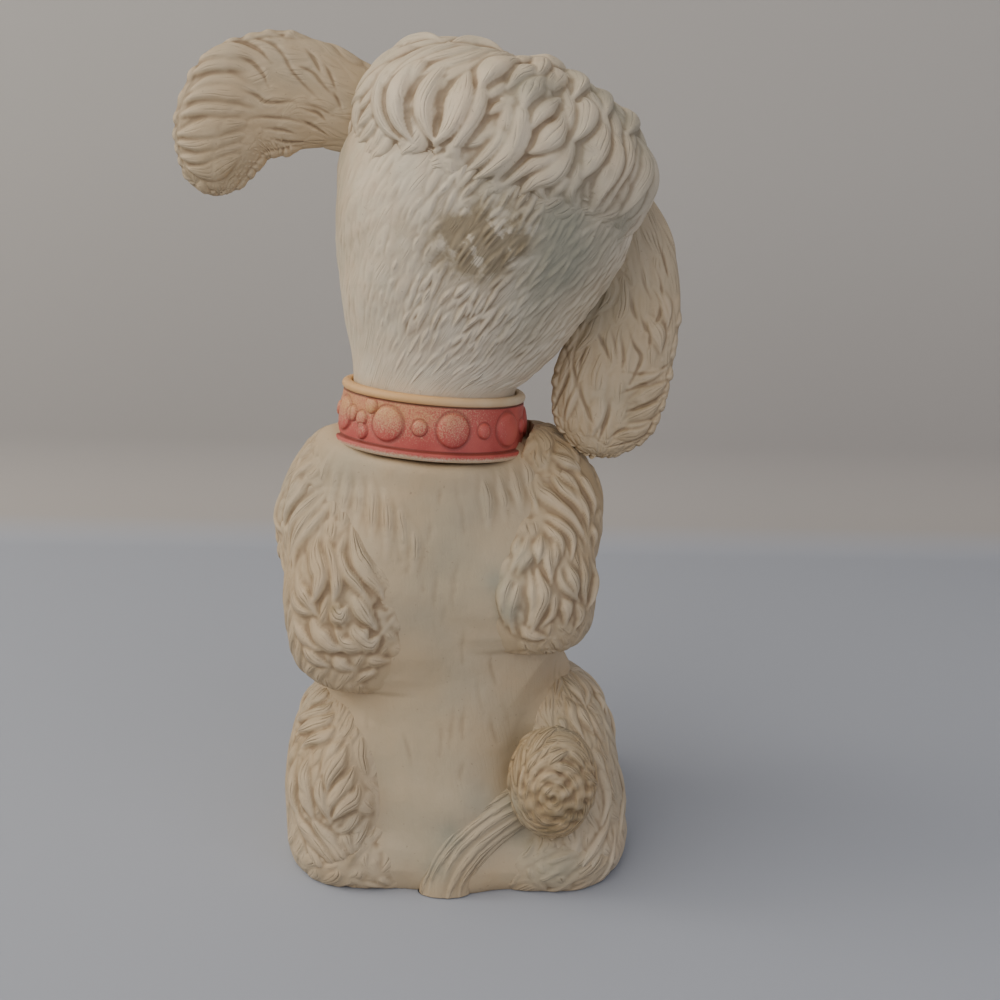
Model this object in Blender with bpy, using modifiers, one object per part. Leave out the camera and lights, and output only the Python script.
"""Squeak toy: a hollow moulded rubber poodle that sits up, seen best from behind, with a collar,
a head that turns on its neck and a press-in squeaker in the base.

Millimetres throughout; MM turns them to metres where a mesh is made.
Frame: +Z up, the dog faces -Y, its left side is +X. The origin is on the resting face, mid base.
"""

import math

import bmesh
import bpy
from mathutils import Matrix, Vector

MM = 0.001

# Torso: half widths, half depths and the rise of each ring above the one below
SEAT_HALF_WIDTH = 41.0
SEAT_HALF_DEPTH = 41.5
RUMP_RISE = 24.0
RUMP_HALF_WIDTH = 41.0
RUMP_HALF_DEPTH = 42.0
WAIST_RISE = 40.0
WAIST_HALF_WIDTH = 36.5
WAIST_HALF_DEPTH = 36.0
CHEST_RISE = 40.0
CHEST_HALF_WIDTH = 35.5
CHEST_HALF_DEPTH = 34.0
SHOULDER_RISE = 17.0
SHOULDER_HALF_WIDTH = 33.0
SHOULDER_HALF_DEPTH = 31.0
NECK_RISE = 9.5
WAIST_LEAN = 4.5
NECK_LEAN = 5.0
SHOULDER_LEAN = 4.0

# Neck: the swivel between the body and the head, inside the collar
NECK_TILT = math.radians(4.4)
NECK_RADIUS = 25.2
NECK_FOOT_RADIUS = 28.5
NECK_WALL = 2.5
PLUG_RADIUS = 18.0
PLUG_WALL = 3.0
FLANGE_REACH = 3.2
FLANGE_THICKNESS = 2.2
RUNNING_GAP = 0.3

# Rubber walls
WALL = 3.0
BASE_WALL = 5.1

# Arms: a shoulder tuft, a shaggy cuff and a small paw held up in front of the chest
TUFT_RADII = (12.5, 17.0, 25.0)
TUFT_TILT = math.radians(26.0)
TUFT_OUTSET = 1.8
TUFT_FORWARD = 3.0
TUFT_ABOVE_CHEST = 5.5
LEFT_CUFF_RADII = (19.5, 24.0, 23.0)
LEFT_CUFF_INSET = 7.0
LEFT_CUFF_BELOW_CHEST = 22.0
RIGHT_CUFF_RADII = (16.5, 21.0, 20.5)
RIGHT_CUFF_INSET = 1.5
RIGHT_CUFF_BELOW_CHEST = 10.0
CUFF_SETBACK = 12.0
PAW_RADII = (11.5, 14.0, 12.0)
PAW_SPREAD = 17.0
PAW_OUT = 9.0
PAW_DROP = 14.0
PAW_DROOP = math.radians(30.0)
FOREARM_RADIUS = 10.0

# Hind legs: a shaggy haunch each side and a foot in front
HAUNCH_RADII = (21.5, 36.0, 33.0)
HAUNCH_INSET = 6.0
HAUNCH_SETBACK = 6.0
HAUNCH_HEIGHT = 24.0
FOOT_RADII = (15.0, 22.0, 12.0)
FOOT_SPREAD = 30.0
FOOT_FORWARD = 42.0
FOOT_HEIGHT = 8.0
HEEL_RADII = (21.0, 24.0, 14.0)
HEEL_SPREAD = 28.5
HEEL_SETBACK = 19.0
HEEL_HEIGHT = 7.5

# Locks: the shaggy forms are combed into ridges this far apart, with grooves this deep between them
LOCK_PITCH = 21.0
COMB_DEPTH = 3.2
HAUNCH_SWEEP = 2.6
CUFF_SWEEP = 2.0
TUFT_SWEEP = 1.4
POMPOM_SWEEP = 3.0
TOPKNOT_SWEEP = 3.4
EAR_NOTCH = 0.09

# Tail: a curved stalk up the back that ends in a round tuft
TAIL_RADIUS = 6.5
TAIL_SINK = 3.0
TAIL_ROOT_X = 2.5
TAIL_BEND = (-4.0, 19.0)
POMPOM_RADII = (13.5, 11.5, 17.8)
POMPOM_X = -29.0
POMPOM_HEIGHT = 37.0
POMPOM_PROUD = 2.0

# Collar: a separate studded ring between two raised lips
COLLAR_HEIGHT = 18.6
COLLAR_INNER_RADIUS = NECK_RADIUS + RUNNING_GAP
COLLAR_BAND = 3.7
COLLAR_TOP_LIP = 2.6
COLLAR_BOTTOM_LIP = 5.3
LIP_HEIGHT = 2.4
LIP_GROOVE = 0.7
LIP_ROUNDING = 0.8
STUD_COUNT = 9
BIG_STUD_RADIUS = 5.0
SMALL_STUD_RADIUS = 2.3
STUD_PROUD = 1.5
STUD_START = math.radians(24.0)

# Head: turned rings above the neck, leaning to the dog's right and turned to its left
HEAD_TILT = math.radians(18.0)
HEAD_TURN = math.radians(14.0)
HEAD_SHIFT = 2.3
JAW_RISE = 10.0
JAW_RADIUS = 30.5
CHEEK_RISE = 20.0
CHEEK_RADIUS = 39.0
BROW_RISE = 24.0
BROW_RADIUS = 45.0
CROWN_RISE = 25.0
CROWN_RADIUS = 38.0
HEAD_TOP_RISE = 14.0
HEAD_DEPTH_SHARE = 0.92

# Topknot: the cap of long curls, with a step all round where it ends
TOPKNOT_START = 58.0
TOPKNOT_RADIUS = 47.5
TOPKNOT_HEIGHT = 40.0
TOPKNOT_STEP = 6.0
TOPKNOT_SHOULDER = 0.25

# Face: muzzle and nose
MUZZLE_RADII = (20.5, 36.0, 18.5)
MUZZLE_FORWARD = 38.0
MUZZLE_HEIGHT = 30.0
NOSE_RADII = (7.0, 6.0, 5.2)
NOSE_LIFT = 8.0

# Ears: flat lobes, each a path from its root on the skull with a half width at each point
EAR_ROOT_HEIGHT = 66.0
EAR_ROOT_SINK = 8.0
EAR_HALF_THICKNESS = 7.0
LEFT_EAR_PATH = (
    (0.0, 0.0, 0.0), (10.0, 0.0, 4.5), (21.0, 0.0, 8.0), (32.0, 0.0, 8.0),
    (42.0, 0.0, 4.5), (48.0, 0.0, -3.5), (50.0, 0.0, -12.5), (50.0, 0.0, -19.5),
)
LEFT_EAR_HALF_WIDTHS = (12.0, 13.5, 16.0, 18.0, 18.0, 15.5, 12.0, 6.5)
RIGHT_EAR_PATH = (
    (0.0, 0.0, 0.0), (-5.5, 1.5, -12.0), (-6.5, 4.0, -27.0), (-2.5, 7.0, -42.0),
    (1.0, 10.0, -55.0), (3.0, 12.0, -66.0), (4.0, 12.5, -73.5),
)
RIGHT_EAR_HALF_WIDTHS = (12.0, 13.5, 15.5, 18.0, 19.0, 16.0, 8.5)

# Squeaker: two cups pressed together through the base, with a reed plate between them
SQUEAKER_Y = -18.0
SQUEAKER_FLANGE_RADIUS = 10.0
SQUEAKER_BARREL_RADIUS = 7.7
SQUEAKER_METAL = 0.8
SQUEAKER_LIP_REACH = 1.0
SQUEAKER_RECESS = 2.1
SQUEAKER_SEAT_GAP = 0.3
SQUEAKER_AIR_HOLE_RADIUS = 1.6
SQUEAKER_BARREL_RISE = 9.0
REED_PLATE_THICKNESS = 1.0
REED_PLATE_HEIGHT = 4.6
REED_LENGTH = 9.0
REED_WIDTH = 3.0
REED_THICKNESS = 0.3
REED_SLOT_MARGIN = 0.5
RIVET_SHANK_RADIUS = 0.7
RIVET_HEAD_RADIUS = 1.3
RIVET_HEAD_HEIGHT = 0.5

AROUND_TORSO = 36
AROUND_HEAD = 36
POINTS_PER_LOCK = 4
ROWS_COMBED = 14
RINGS_PER_EAR_LOCK = 3
AROUND_EAR = 16
AROUND_LIMB = 12
AROUND_TURNED = 40
AROUND_SMALL = 24


# Heights that follow from the rises above
RUMP_HEIGHT = RUMP_RISE
WAIST_HEIGHT = RUMP_HEIGHT + WAIST_RISE
CHEST_HEIGHT = WAIST_HEIGHT + CHEST_RISE
SHOULDER_HEIGHT = CHEST_HEIGHT + SHOULDER_RISE
COLLAR_HALF = COLLAR_HEIGHT / 2
CHEST_MIDDLE = WAIST_LEAN + NECK_LEAN / 2
NECK_CENTRE = Vector(
    (WAIST_LEAN + NECK_LEAN, 0.0, SHOULDER_HEIGHT + NECK_RISE + RUNNING_GAP + COLLAR_HALF)
)
NECK_TURN = Matrix.Rotation(-NECK_TILT, 3, "Y")
HEAD_ORIGIN = NECK_CENTRE + NECK_TURN @ Vector((0.0, 0.0, COLLAR_HALF + 2.0))
HEAD_MATRIX = Matrix.Rotation(-HEAD_TILT, 3, "Y") @ Matrix.Rotation(HEAD_TURN, 3, "Z")
SKULL_TOP = JAW_RISE + CHEEK_RISE + BROW_RISE + CROWN_RISE + HEAD_TOP_RISE
PLATE_TOP = REED_PLATE_HEIGHT + REED_PLATE_THICKNESS


def make_collection(name):
    made = bpy.data.collections.new(name)
    bpy.context.scene.collection.children.link(made)
    return made


def rubber(name, colour, roughness):
    """A plain Principled material for moulded rubber or its paint."""
    made = bpy.data.materials.new(name)
    made.use_nodes = True
    shader = made.node_tree.nodes["Principled BSDF"]
    shader.inputs["Base Color"].default_value = (*colour, 1.0)
    shader.inputs["Roughness"].default_value = roughness
    return made


def metal(name, colour, roughness):
    made = rubber(name, colour, roughness)
    made.node_tree.nodes["Principled BSDF"].inputs["Metallic"].default_value = 1.0
    return made


def add_object(name, bm, collection):
    """Turns a bmesh in millimetres into an object in metres with outward normals."""
    bmesh.ops.recalc_face_normals(bm, faces=bm.faces)
    bmesh.ops.scale(bm, vec=(MM, MM, MM), verts=bm.verts)
    mesh = bpy.data.meshes.new(name)
    bm.to_mesh(mesh)
    bm.free()
    made = bpy.data.objects.new(name, mesh)
    collection.objects.link(made)
    mesh.shade_smooth()
    mesh.set_sharp_from_angle(angle=math.radians(40.0))
    return made


def as_helper(obj):
    """A cutter or a lump that only feeds a Boolean: left out of renders, drawn as wire."""
    obj.hide_render = True
    obj.display_type = "WIRE"
    return obj


def ring(centre, side, depth):
    return (Vector(centre), Vector(side), Vector(depth))


def smooth_rings(rings, between):
    """Adds rings between the given ones along a Catmull-Rom curve through their centres and sizes."""
    dense = []
    last = len(rings) - 1
    for i in range(last):
        p0, p1 = rings[max(i - 1, 0)], rings[i]
        p2, p3 = rings[i + 1], rings[min(i + 2, last)]
        for step in range(between + 1):
            t = step / (between + 1)
            mixed = []
            for a, b, c, d in zip(p0, p1, p2, p3):
                pull = (c - a) * 0.5
                push = (d - b) * 0.5
                mixed.append(
                    b * (2 * t**3 - 3 * t**2 + 1) + pull * (t**3 - 2 * t**2 + t)
                    + c * (3 * t**2 - 2 * t**3) + push * (t**3 - t**2)
                )
            dense.append(tuple(mixed))
    dense.append(rings[-1])
    return dense


def groove(angle, drift, locks):
    """The depth of the combing round a form: 0 on a ridge and 1 between two, with drift turning them."""
    return 1.0 - abs(math.cos((locks * angle + drift) / 2))


def uncut(row, angle):
    return 0.0


def loft(name, rings, around, collection, cut=uncut):
    """A closed skin over elliptical rings: each point is centre + side cos(a) + depth sin(a), less the share
    of the two that cut gives for its row and angle."""
    bm = bmesh.new()
    loops = []
    angles = [math.tau * k / around for k in range(around)]
    for row, (centre, side, depth) in enumerate(rings):
        loop = []
        for a in angles:
            reach = side * math.cos(a) + depth * math.sin(a)
            loop.append(bm.verts.new(centre + reach * (1.0 - cut(row, a))))
        loops.append(loop)
    for low, high in zip(loops, loops[1:]):
        for k in range(around):
            after = (k + 1) % around
            bm.faces.new((low[k], low[after], high[after], high[k]))
    bm.faces.new(loops[0])
    bm.faces.new(loops[-1])
    return add_object(name, bm, collection)


def ellipsoid(name, centre, radii, turn, collection, segments=16, rows=10):
    """A sphere primitive stretched to three radii, turned and placed."""
    bm = bmesh.new()
    bmesh.ops.create_uvsphere(bm, u_segments=segments, v_segments=rows, radius=1.0)
    stretch = Matrix.Diagonal(Vector(radii)).to_4x4()
    place = Matrix.Translation(Vector(centre)) @ turn.to_4x4() @ stretch
    bmesh.ops.transform(bm, matrix=place, verts=bm.verts)
    return add_object(name, bm, collection)


def locks_round(radii):
    """How many ridges fit round the waist of an ellipsoid."""
    girth = math.tau * math.sqrt((radii[0] ** 2 + radii[1] ** 2) / 2)
    return round(girth / LOCK_PITCH)


def combed(name, centre, radii, turn, sweep, collection):
    """An ellipsoid with ridges down it that sweep sideways; its grooves fade to nothing at the poles."""
    locks = locks_round(radii)
    bm = bmesh.new()
    bmesh.ops.create_uvsphere(bm, u_segments=POINTS_PER_LOCK * locks, v_segments=ROWS_COMBED, radius=1.0)
    for vert in bm.verts:
        x, y, z = vert.co
        depth = COMB_DEPTH * groove(math.atan2(y, x), sweep * z, locks) * math.hypot(x, y)
        vert.co = Vector((x * (radii[0] - depth), y * (radii[1] - depth), z * radii[2]))
    place = Matrix.Translation(Vector(centre)) @ turn.to_4x4()
    bmesh.ops.transform(bm, matrix=place, verts=bm.verts)
    return add_object(name, bm, collection)


def shaggy(name, centre, radii, turn, sweep, inset, collection):
    """A combed lump, or with an inset the plain hollow that lies that far below its grooves."""
    if inset:
        below = inset + COMB_DEPTH
        return ellipsoid(name, centre, Vector(radii) - Vector((below, below, below)), turn, collection)
    return combed(name, centre, radii, turn, sweep, collection)


def limb(name, points, radii, flat, collection):
    """A rounded tube through points; flat is the direction that its rings' first axis stays square to."""
    points = [Vector(point) for point in points]
    last = len(points) - 1
    rings = []
    for k, point in enumerate(points):
        along = (points[min(k + 1, last)] - points[max(k - 1, 0)]).normalized()
        across = along.cross(Vector(flat)).normalized()
        rings.append(ring(point, across * radii[k], across.cross(along) * radii[k]))
    return loft(name, smooth_rings(rings, 1), AROUND_LIMB, collection)


def cylinder(name, centre, radius, height, turn, collection, segments=AROUND_TURNED):
    """A cylinder whose base is at centre and whose axis is the turned Z."""
    bm = bmesh.new()
    bmesh.ops.create_cone(
        bm, cap_ends=True, segments=segments, radius1=radius, radius2=radius, depth=height
    )
    lift = Matrix.Translation(Vector((0.0, 0.0, height / 2)))
    place = Matrix.Translation(Vector(centre)) @ turn.to_4x4() @ lift
    bmesh.ops.transform(bm, matrix=place, verts=bm.verts)
    return add_object(name, bm, collection)


def block(name, low, high, collection):
    bm = bmesh.new()
    bmesh.ops.create_cube(bm, size=1.0)
    low, high = Vector(low), Vector(high)
    size = Matrix.Diagonal(high - low).to_4x4()
    place = Matrix.Translation((low + high) / 2) @ size
    bmesh.ops.transform(bm, matrix=place, verts=bm.verts)
    return add_object(name, bm, collection)


def turned(name, profile, centre, turn, collection, steps=AROUND_TURNED):
    """A closed outline of (radius, height) points, listed anticlockwise, carried round local Z by a Screw."""
    bm = bmesh.new()
    points = [bm.verts.new((radius * MM, 0.0, height * MM)) for radius, height in reversed(profile)]
    for a, b in zip(points, points[1:] + points[:1]):
        bm.edges.new((a, b))
    mesh = bpy.data.meshes.new(name)
    bm.to_mesh(mesh)
    bm.free()
    made = bpy.data.objects.new(name, mesh)
    collection.objects.link(made)
    made.matrix_world = Matrix.Translation(Vector(centre) * MM) @ turn.to_4x4()
    screw = made.modifiers.new("turn", "SCREW")
    screw.angle = math.tau
    screw.steps = steps
    screw.render_steps = steps
    screw.use_merge_vertices = True
    screw.merge_threshold = 0.00001
    return made


def boolean(target, operation, other):
    """Adds an exact Boolean with one object or a whole collection."""
    made = target.modifiers.new(f"{operation.lower()}_{other.name}", "BOOLEAN")
    made.operation = operation
    made.solver = "EXACT"
    if isinstance(other, bpy.types.Collection):
        made.operand_type = "COLLECTION"
        made.collection = other
    else:
        made.object = other


def neck_point(height):
    """A point on the swivel axis, measured from the middle of the collar."""
    return NECK_CENTRE + NECK_TURN @ Vector((0.0, 0.0, height))


def neck_ring(height, radius):
    side = NECK_TURN @ Vector((radius, 0.0, 0.0))
    return ring(neck_point(height), side, (0.0, radius, 0.0))


def head_point(x, y, z):
    return HEAD_ORIGIN + HEAD_MATRIX @ Vector((x, y, z))


def head_ring(height, radius):
    side = HEAD_MATRIX @ Vector((radius, 0.0, 0.0))
    depth = HEAD_MATRIX @ Vector((0.0, radius * HEAD_DEPTH_SHARE, 0.0))
    return ring(head_point(HEAD_SHIFT, 0.0, height), side, depth)


def flat_ring(x, height, half_width, half_depth):
    return ring((x, 0.0, height), (half_width, 0.0, 0.0), (0.0, half_depth, 0.0))


def torso_rings(inset):
    """The torso's rings from below the floor plane to the foot of the neck, drawn in by inset."""
    below = 4.0
    return smooth_rings(
        [
            flat_ring(0.0, -below, SEAT_HALF_WIDTH - inset, SEAT_HALF_DEPTH - inset),
            flat_ring(0.0, RUMP_HEIGHT, RUMP_HALF_WIDTH - inset, RUMP_HALF_DEPTH - inset),
            flat_ring(WAIST_LEAN, WAIST_HEIGHT, WAIST_HALF_WIDTH - inset, WAIST_HALF_DEPTH - inset),
            flat_ring(
                CHEST_MIDDLE, CHEST_HEIGHT,
                CHEST_HALF_WIDTH - inset, CHEST_HALF_DEPTH - inset,
            ),
            flat_ring(
                WAIST_LEAN + SHOULDER_LEAN, SHOULDER_HEIGHT,
                SHOULDER_HALF_WIDTH - inset, SHOULDER_HALF_DEPTH - inset,
            ),
        ],
        1,
    )


def arm_lumps(side, inset, collection):
    """One arm: the tuft over the shoulder and the cuff that bulges to the back of the torso."""
    radii, cuff_inset, below = LEFT_CUFF_RADII, LEFT_CUFF_INSET, LEFT_CUFF_BELOW_CHEST
    if side < 0:
        radii, cuff_inset, below = RIGHT_CUFF_RADII, RIGHT_CUFF_INSET, RIGHT_CUFF_BELOW_CHEST
    tuft_x = CHEST_MIDDLE + side * (CHEST_HALF_WIDTH + TUFT_OUTSET)
    cuff_x = CHEST_MIDDLE + side * (CHEST_HALF_WIDTH - cuff_inset)
    label = f"{'left' if side > 0 else 'right'}_{'hollow' if inset else 'lump'}"
    shaggy(
        f"tuft_{label}", (tuft_x, -TUFT_FORWARD, CHEST_HEIGHT + TUFT_ABOVE_CHEST),
        TUFT_RADII, Matrix.Rotation(-side * TUFT_TILT, 3, "Y"), side * TUFT_SWEEP, inset, collection,
    )
    shaggy(
        f"cuff_{label}", (cuff_x, CUFF_SETBACK, CHEST_HEIGHT - below),
        radii, Matrix.Identity(3), side * CUFF_SWEEP, inset, collection,
    )


def haunch_lumps(side, inset, collection):
    label = f"{'left' if side > 0 else 'right'}_{'hollow' if inset else 'lump'}"
    shaggy(
        f"haunch_{label}",
        (side * (SEAT_HALF_WIDTH - HAUNCH_INSET), HAUNCH_SETBACK, HAUNCH_HEIGHT),
        HAUNCH_RADII, Matrix.Identity(3), side * HAUNCH_SWEEP, inset, collection,
    )


def front_lumps(side, collection):
    """The forearm and paw held in front of the chest, and the heel and foot on the ground."""
    label = "left" if side > 0 else "right"
    shoulder = Vector((CHEST_MIDDLE + side * CHEST_HALF_WIDTH, 0.0, CHEST_HEIGHT + TUFT_ABOVE_CHEST))
    paw = Vector(
        (CHEST_MIDDLE + side * PAW_SPREAD, -CHEST_HALF_DEPTH - PAW_OUT, CHEST_HEIGHT - PAW_DROP)
    )
    elbow = Vector((CHEST_MIDDLE + side * CHEST_HALF_WIDTH, paw.y / 2, (shoulder.z + paw.z) / 2))
    limb(
        f"forearm_{label}", (shoulder, elbow, paw), (FOREARM_RADIUS,) * 3, (0.0, 0.0, 1.0), collection,
    )
    droop = Matrix.Rotation(PAW_DROOP, 3, "X")
    ellipsoid(f"paw_{label}", paw, PAW_RADII, droop, collection)
    ellipsoid(
        f"foot_{label}", (side * FOOT_SPREAD, -FOOT_FORWARD, FOOT_HEIGHT),
        FOOT_RADII, Matrix.Identity(3), collection,
    )
    ellipsoid(
        f"heel_{label}", (side * HEEL_SPREAD, HEEL_SETBACK, HEEL_HEIGHT),
        HEEL_RADII, Matrix.Identity(3), collection,
    )


def tail_lumps(collection):
    """The stalk follows three points up the rump and ends inside the pompom."""
    back = RUMP_HALF_DEPTH
    pompom_y = back + POMPOM_PROUD - POMPOM_RADII[1] / 2 + TAIL_SINK
    points = [
        Vector((TAIL_ROOT_X, back - TAIL_SINK, -TAIL_RADIUS)),
        Vector((TAIL_ROOT_X, back - TAIL_SINK, 4.0)),
        Vector((TAIL_BEND[0], back - TAIL_SINK, TAIL_BEND[1])),
        Vector(((TAIL_BEND[0] + POMPOM_X) / 2, back - TAIL_SINK, (TAIL_BEND[1] + POMPOM_HEIGHT) / 2)),
        Vector((POMPOM_X, pompom_y, POMPOM_HEIGHT)),
    ]
    limb("tail_stalk_lump", points, (TAIL_RADIUS,) * len(points), (0.0, 1.0, 0.0), collection)
    combed(
        "pompom_lump", (POMPOM_X, pompom_y, POMPOM_HEIGHT), POMPOM_RADII, Matrix.Identity(3),
        POMPOM_SWEEP, collection,
    )


def body_hollow(helpers, lumps):
    """The air space inside the body: torso, arms and haunches less the wall, down to the base wall."""
    rings = torso_rings(WALL) + [
        neck_ring(-COLLAR_HALF - RUNNING_GAP, NECK_RADIUS - WALL),
        neck_ring(-NECK_WALL, NECK_RADIUS - WALL),
    ]
    hollow = as_helper(loft("body_hollow", rings, AROUND_TORSO, helpers))
    for side in (1, -1):
        arm_lumps(side, WALL, lumps)
        haunch_lumps(side, WALL, lumps)
    boolean(hollow, "UNION", lumps)
    reach = 2 * RUMP_HALF_DEPTH
    floor = block("base_wall_block", (-reach, -reach, -reach), (reach, reach, BASE_WALL), helpers)
    boolean(hollow, "DIFFERENCE", as_helper(floor))
    return hollow


def make_body(parts, helpers, lumps, hollows, material):
    """One rubber casting: torso, arms, haunches, feet and tail, open at the neck and the squeaker."""
    seat = -COLLAR_HALF - RUNNING_GAP
    rings = torso_rings(0.0) + [neck_ring(seat + 1.0, NECK_FOOT_RADIUS)]
    body = loft("body_shell", rings, AROUND_TORSO, parts)
    body.data.materials.append(material)
    for side in (1, -1):
        arm_lumps(side, 0.0, lumps)
        haunch_lumps(side, 0.0, lumps)
        front_lumps(side, lumps)
    tail_lumps(lumps)
    boolean(body, "UNION", lumps)
    collar_seat = cylinder(
        "collar_seat_cutter", neck_point(seat), COLLAR_INNER_RADIUS + COLLAR_BOTTOM_LIP + RUNNING_GAP,
        4 * COLLAR_HALF, NECK_TURN, helpers,
    )
    boolean(body, "DIFFERENCE", as_helper(collar_seat))
    boss = cylinder("neck_boss_lump", neck_point(seat - 2.0), NECK_RADIUS, 2.0 - seat, NECK_TURN, helpers)
    boolean(body, "UNION", as_helper(boss))
    boolean(body, "DIFFERENCE", body_hollow(helpers, hollows))
    reach = 3 * RUMP_HALF_DEPTH
    ground = block("ground_block", (-reach, -reach, -reach), (reach, reach, 0.0), helpers)
    boolean(body, "DIFFERENCE", as_helper(ground))
    mouth = cylinder(
        "neck_hole_cutter", neck_point(-NECK_WALL - 1.0), PLUG_RADIUS + RUNNING_GAP,
        NECK_WALL + 2.0, NECK_TURN, helpers,
    )
    boolean(body, "DIFFERENCE", as_helper(mouth))
    level = Matrix.Identity(3)
    recess = cylinder(
        "squeaker_recess_cutter", (0.0, SQUEAKER_Y, -1.0),
        SQUEAKER_FLANGE_RADIUS + RUNNING_GAP, SQUEAKER_RECESS + 1.0, level, helpers, AROUND_SMALL,
    )
    boolean(body, "DIFFERENCE", as_helper(recess))
    hole = cylinder(
        "squeaker_hole_cutter", (0.0, SQUEAKER_Y, 0.0), SQUEAKER_BARREL_RADIUS + RUNNING_GAP,
        BASE_WALL + 1.0, level, helpers, AROUND_SMALL,
    )
    boolean(body, "DIFFERENCE", as_helper(hole))
    return body


def head_rings(inset):
    """Skull rings from the jaw up, drawn in by inset."""
    jaw = JAW_RISE
    cheek = jaw + CHEEK_RISE
    brow = cheek + BROW_RISE
    crown = brow + CROWN_RISE
    return smooth_rings(
        [
            head_ring(jaw, JAW_RADIUS - inset),
            head_ring(cheek, CHEEK_RADIUS - inset),
            head_ring(brow, BROW_RADIUS - inset),
            head_ring(crown, CROWN_RADIUS - inset),
            head_ring(SKULL_TOP - inset, 6.0),
        ],
        2,
    )


def ear(name, side, path, half_widths, lumps):
    """A flat lobe along its path from the side of the skull, rounded at the tip."""
    root = head_point(side * (BROW_RADIUS - EAR_ROOT_SINK), 0.0, EAR_ROOT_HEIGHT)
    points = [root + Vector(offset) for offset in path]
    thin = Vector((0.0, 1.0, 0.0))
    rings = []
    last = len(points) - 1
    for k, point in enumerate(points):
        along = (points[min(k + 1, last)] - points[max(k - 1, 0)]).normalized()
        across = along.cross(thin).normalized()
        thick = EAR_HALF_THICKNESS * (0.6 if k == last else 1.0)
        rings.append(ring(point, across * half_widths[k], across.cross(along) * thick))
    locks = []
    for k, (centre, side, depth) in enumerate(smooth_rings(rings, RINGS_PER_EAR_LOCK - 1)):
        share = 1.0 - EAR_NOTCH if k % RINGS_PER_EAR_LOCK == 1 else 1.0
        locks.append(ring(centre, side * share, depth * share))
    return loft(name, locks, AROUND_EAR, lumps)


def make_head(parts, helpers, lumps, hollows, material):
    """One rubber casting: skull, topknot, muzzle and ears, with the neck plug that snaps into the body."""
    neck = [neck_ring(RUNNING_GAP, NECK_RADIUS), neck_ring(COLLAR_HALF + 1.0, NECK_RADIUS)]
    head = loft("head_shell", neck + head_rings(0.0), AROUND_HEAD, parts)
    head.data.materials.append(material)
    knot = [head_ring(TOPKNOT_START, TOPKNOT_RADIUS - TOPKNOT_STEP)]
    for share in (0.1, TOPKNOT_SHOULDER, 0.5, 0.75, 0.9, 0.98):
        over = max(share - TOPKNOT_SHOULDER, 0.0) / (1.0 - TOPKNOT_SHOULDER)
        size = TOPKNOT_RADIUS * math.sqrt(1.0 - over**2)
        knot.append(head_ring(TOPKNOT_START + TOPKNOT_HEIGHT * share, size))
    locks = locks_round((TOPKNOT_RADIUS, TOPKNOT_RADIUS * HEAD_DEPTH_SHARE))
    last = len(knot) - 1

    def topknot_cut(row, angle):
        return COMB_DEPTH / TOPKNOT_RADIUS * groove(angle, TOPKNOT_SWEEP * row / last, locks)

    loft("topknot_lump", knot, POINTS_PER_LOCK * locks, lumps, topknot_cut)
    ellipsoid(
        "muzzle_lump", head_point(0.0, -MUZZLE_FORWARD, MUZZLE_HEIGHT), MUZZLE_RADII,
        HEAD_MATRIX, lumps, 20, 12,
    )
    ellipsoid(
        "nose_lump",
        head_point(0.0, -MUZZLE_FORWARD - MUZZLE_RADII[1] + NOSE_RADII[1] / 2, MUZZLE_HEIGHT + NOSE_LIFT),
        NOSE_RADII, HEAD_MATRIX, lumps, 12, 8,
    )
    ear("left_ear_lump", 1, LEFT_EAR_PATH, LEFT_EAR_HALF_WIDTHS, lumps)
    ear("right_ear_lump", -1, RIGHT_EAR_PATH, RIGHT_EAR_HALF_WIDTHS, lumps)
    flange_low = -NECK_WALL - RUNNING_GAP - FLANGE_THICKNESS
    cylinder(
        "plug_lump", neck_point(flange_low), PLUG_RADIUS, RUNNING_GAP - flange_low + 1.0,
        NECK_TURN, lumps,
    )
    cylinder(
        "flange_lump", neck_point(flange_low), PLUG_RADIUS + FLANGE_REACH, FLANGE_THICKNESS,
        NECK_TURN, lumps,
    )
    boolean(head, "UNION", lumps)
    inner = [
        neck_ring(RUNNING_GAP + NECK_WALL, NECK_RADIUS - WALL),
        neck_ring(COLLAR_HALF + 1.0, NECK_RADIUS - WALL),
    ]
    hollow = as_helper(loft("head_hollow", inner + head_rings(WALL), AROUND_HEAD, helpers))
    shrink = Vector((WALL, WALL, WALL))
    ellipsoid(
        "muzzle_hollow", head_point(0.0, -MUZZLE_FORWARD, MUZZLE_HEIGHT),
        Vector(MUZZLE_RADII) - shrink, HEAD_MATRIX, hollows, 16, 10,
    )
    boolean(hollow, "UNION", hollows)
    boolean(head, "DIFFERENCE", hollow)
    bore = cylinder(
        "plug_bore_cutter", neck_point(flange_low - 1.0), PLUG_RADIUS - PLUG_WALL,
        NECK_WALL + RUNNING_GAP - flange_low + 2.0, NECK_TURN, helpers,
    )
    boolean(head, "DIFFERENCE", as_helper(bore))
    return head


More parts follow.
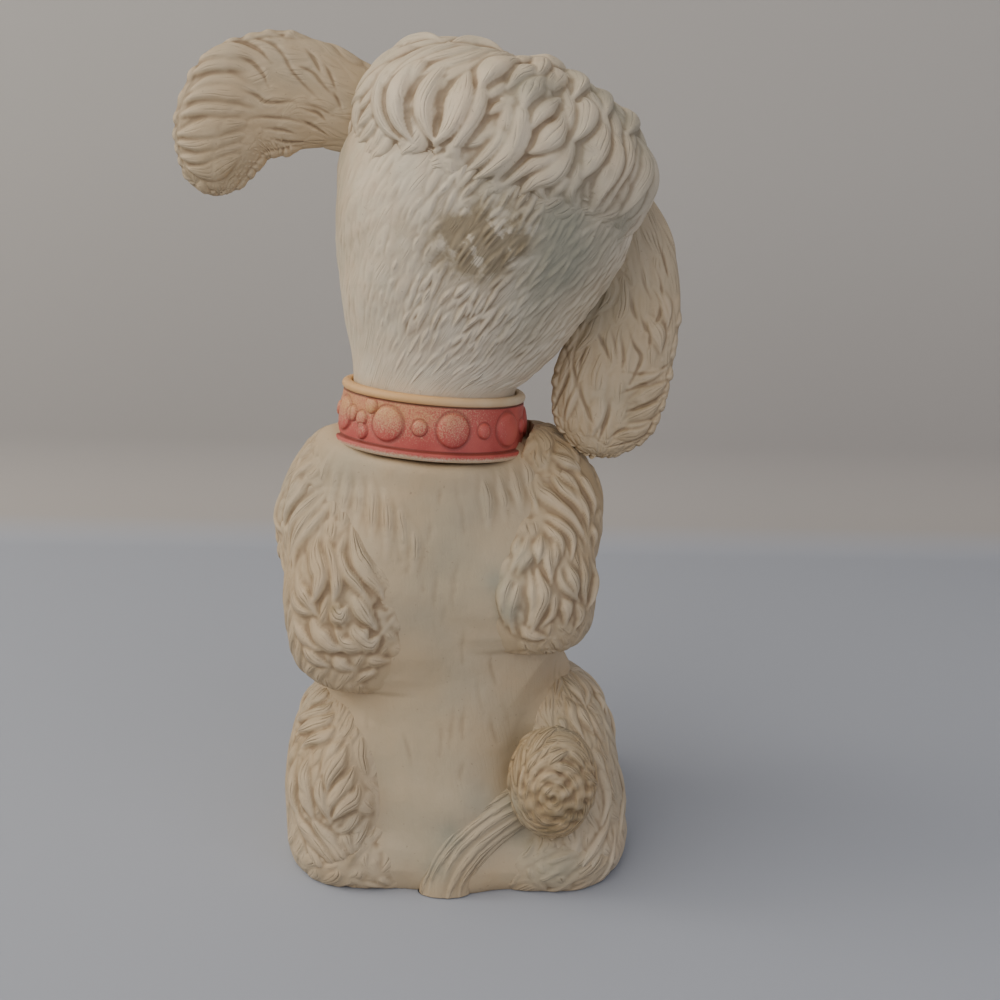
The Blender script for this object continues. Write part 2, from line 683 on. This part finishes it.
def make_collar(parts, studs, material):
    """A turned ring with a raised lip at each edge, and round studs in two sizes between them."""
    inner = COLLAR_INNER_RADIUS
    top = COLLAR_HALF
    band = inner + COLLAR_BAND
    profile = [
        (inner, top),
        (inner, -top),
        (inner + COLLAR_BOTTOM_LIP - LIP_ROUNDING, -top),
        (inner + COLLAR_BOTTOM_LIP, -top + LIP_ROUNDING),
        (inner + COLLAR_BOTTOM_LIP - 0.2, -top + LIP_HEIGHT),
        (band - LIP_GROOVE, -top + LIP_HEIGHT + 0.5),
        (band + 0.3, -top + LIP_HEIGHT + 1.4),
        (band, 0.0),
        (band - 0.6, top - LIP_HEIGHT - 1.4),
        (band - 1.0 - LIP_GROOVE, top - LIP_HEIGHT - 0.5),
        (inner + COLLAR_TOP_LIP, top - LIP_HEIGHT),
        (inner + COLLAR_TOP_LIP, top - LIP_ROUNDING),
        (inner + COLLAR_TOP_LIP - LIP_ROUNDING, top),
    ]
    collar = turned("collar", profile, NECK_CENTRE, NECK_TURN, parts)
    collar.data.materials.append(material)
    for k in range(2 * STUD_COUNT):
        angle = STUD_START - math.pi * k / STUD_COUNT
        radius = SMALL_STUD_RADIUS if k % 2 else BIG_STUD_RADIUS
        turn = NECK_TURN @ Matrix.Rotation(-angle, 3, "Z")
        centre = NECK_CENTRE + turn @ Vector((0.0, band - 0.4, -0.4))
        proud = STUD_PROUD if radius == BIG_STUD_RADIUS else STUD_PROUD * 0.8
        ellipsoid(f"stud_{k:02d}", centre, (radius, proud, radius), turn, studs, 10, 6)
    boolean(collar, "UNION", studs)
    return collar


def make_squeaker(parts, helpers, plate_material, reed_material):
    """Outer cup, inner cup, reed plate, rivet and reed, all on the squeaker's own upright axis."""
    level = Matrix.Identity(3)
    centre = Vector((0.0, SQUEAKER_Y, 0.0))
    barrel = SQUEAKER_BARREL_RADIUS
    bore = barrel - SQUEAKER_METAL
    flange_top = SQUEAKER_RECESS - SQUEAKER_SEAT_GAP
    flange_low = flange_top - SQUEAKER_METAL
    outer = turned(
        "squeaker_outer_cup",
        [
            (SQUEAKER_AIR_HOLE_RADIUS, flange_top),
            (SQUEAKER_AIR_HOLE_RADIUS, flange_low),
            (SQUEAKER_FLANGE_RADIUS - 0.3, flange_low),
            (SQUEAKER_FLANGE_RADIUS, flange_low + 0.3),
            (SQUEAKER_FLANGE_RADIUS, flange_top),
            (barrel, flange_top),
            (barrel, SQUEAKER_BARREL_RISE),
            (bore, SQUEAKER_BARREL_RISE),
            (bore, flange_top),
        ],
        centre, level, parts, AROUND_SMALL,
    )
    outer.data.materials.append(plate_material)
    lip_low = BASE_WALL + SQUEAKER_SEAT_GAP
    sleeve = barrel + RUNNING_GAP
    inner = turned(
        "squeaker_inner_cup",
        [
            (SQUEAKER_AIR_HOLE_RADIUS, SQUEAKER_BARREL_RISE + RUNNING_GAP + SQUEAKER_METAL),
            (SQUEAKER_AIR_HOLE_RADIUS, SQUEAKER_BARREL_RISE + RUNNING_GAP),
            (sleeve, SQUEAKER_BARREL_RISE + RUNNING_GAP),
            (sleeve, lip_low),
            (SQUEAKER_FLANGE_RADIUS + SQUEAKER_LIP_REACH, lip_low),
            (SQUEAKER_FLANGE_RADIUS + SQUEAKER_LIP_REACH, lip_low + SQUEAKER_METAL),
            (sleeve + SQUEAKER_METAL, lip_low + SQUEAKER_METAL),
            (sleeve + SQUEAKER_METAL, SQUEAKER_BARREL_RISE + RUNNING_GAP + SQUEAKER_METAL),
        ],
        centre, level, parts, AROUND_SMALL,
    )
    inner.data.materials.append(plate_material)
    plate = cylinder(
        "squeaker_reed_plate", centre + Vector((0.0, 0.0, REED_PLATE_HEIGHT)),
        bore - RUNNING_GAP, REED_PLATE_THICKNESS, level, parts, AROUND_SMALL,
    )
    plate.data.materials.append(plate_material)
    root_x = -REED_LENGTH / 2
    half_slot = REED_WIDTH / 2 + REED_SLOT_MARGIN
    slot = block(
        "reed_slot_cutter",
        centre + Vector((root_x + 2 * RIVET_HEAD_RADIUS, -half_slot, REED_PLATE_HEIGHT - 1.0)),
        centre + Vector((-root_x + REED_SLOT_MARGIN, half_slot, PLATE_TOP + 1.0)),
        helpers,
    )
    boolean(plate, "DIFFERENCE", as_helper(slot))
    rivet_at = centre + Vector((root_x + RIVET_HEAD_RADIUS, 0.0, 0.0))
    pin_hole = cylinder(
        "rivet_hole_cutter", rivet_at + Vector((0.0, 0.0, REED_PLATE_HEIGHT - 1.0)),
        RIVET_SHANK_RADIUS + 0.1, REED_PLATE_THICKNESS + REED_THICKNESS + 4.0, level, helpers, 12,
    )
    boolean(plate, "DIFFERENCE", as_helper(pin_hole))
    reed_low = PLATE_TOP + SQUEAKER_SEAT_GAP
    reed = block(
        "squeaker_reed",
        centre + Vector((root_x, -REED_WIDTH / 2, reed_low)),
        centre + Vector((-root_x, REED_WIDTH / 2, reed_low + REED_THICKNESS)),
        parts,
    )
    reed.data.materials.append(reed_material)
    boolean(reed, "DIFFERENCE", pin_hole)
    reed_top = reed_low + REED_THICKNESS
    rivet = turned(
        "squeaker_rivet",
        [
            (0.0, reed_top + SQUEAKER_SEAT_GAP + RIVET_HEAD_HEIGHT),
            (0.0, REED_PLATE_HEIGHT - SQUEAKER_SEAT_GAP - RIVET_HEAD_HEIGHT),
            (RIVET_HEAD_RADIUS, REED_PLATE_HEIGHT - SQUEAKER_SEAT_GAP - RIVET_HEAD_HEIGHT),
            (RIVET_HEAD_RADIUS, REED_PLATE_HEIGHT - SQUEAKER_SEAT_GAP),
            (RIVET_SHANK_RADIUS, REED_PLATE_HEIGHT - SQUEAKER_SEAT_GAP),
            (RIVET_SHANK_RADIUS, reed_top + SQUEAKER_SEAT_GAP),
            (RIVET_HEAD_RADIUS, reed_top + SQUEAKER_SEAT_GAP),
            (RIVET_HEAD_RADIUS, reed_top + SQUEAKER_SEAT_GAP + RIVET_HEAD_HEIGHT),
        ],
        rivet_at, level, parts, 12,
    )
    rivet.data.materials.append(reed_material)
    return reed, rivet_at + Vector((0.0, 0.0, reed_low))


def on_axis(obj, name, centre, turn, collection):
    """Parents a moving piece to an empty that stands on its joint's axis."""
    empty = bpy.data.objects.new(name, None)
    empty.empty_display_size = 10 * MM
    empty.matrix_world = Matrix.Translation(Vector(centre) * MM) @ turn.to_4x4()
    collection.objects.link(empty)
    bpy.context.view_layer.update()
    obj.parent = empty
    obj.matrix_parent_inverse = empty.matrix_world.inverted()


def main():
    for obj in list(bpy.data.objects):
        bpy.data.objects.remove(obj)
    parts = make_collection("rubber_squeak_poodle")
    helpers = make_collection("cutters")
    operands = {}
    for name in ("body_lumps", "body_hollows", "head_lumps", "head_hollows", "studs"):
        operands[name] = bpy.data.collections.new(name)
        helpers.children.link(operands[name])
    cream = rubber("cream_rubber", (0.60, 0.52, 0.40), 0.62)
    red = rubber("painted_collar_rubber", (0.55, 0.12, 0.10), 0.55)
    tinplate = metal("tinned_steel", (0.62, 0.61, 0.58), 0.38)
    brass = metal("sheet_brass", (0.70, 0.52, 0.22), 0.35)
    make_body(parts, helpers, operands["body_lumps"], operands["body_hollows"], cream)
    head = make_head(parts, helpers, operands["head_lumps"], operands["head_hollows"], cream)
    make_collar(parts, operands["studs"], red)
    reed, reed_root = make_squeaker(parts, helpers, tinplate, brass)
    on_axis(head, "head_swivel_axis", NECK_CENTRE, NECK_TURN, parts)
    on_axis(reed, "reed_root_axis", reed_root, Matrix.Identity(3), parts)
    for collection in operands.values():
        for obj in collection.objects:
            as_helper(obj)


main()
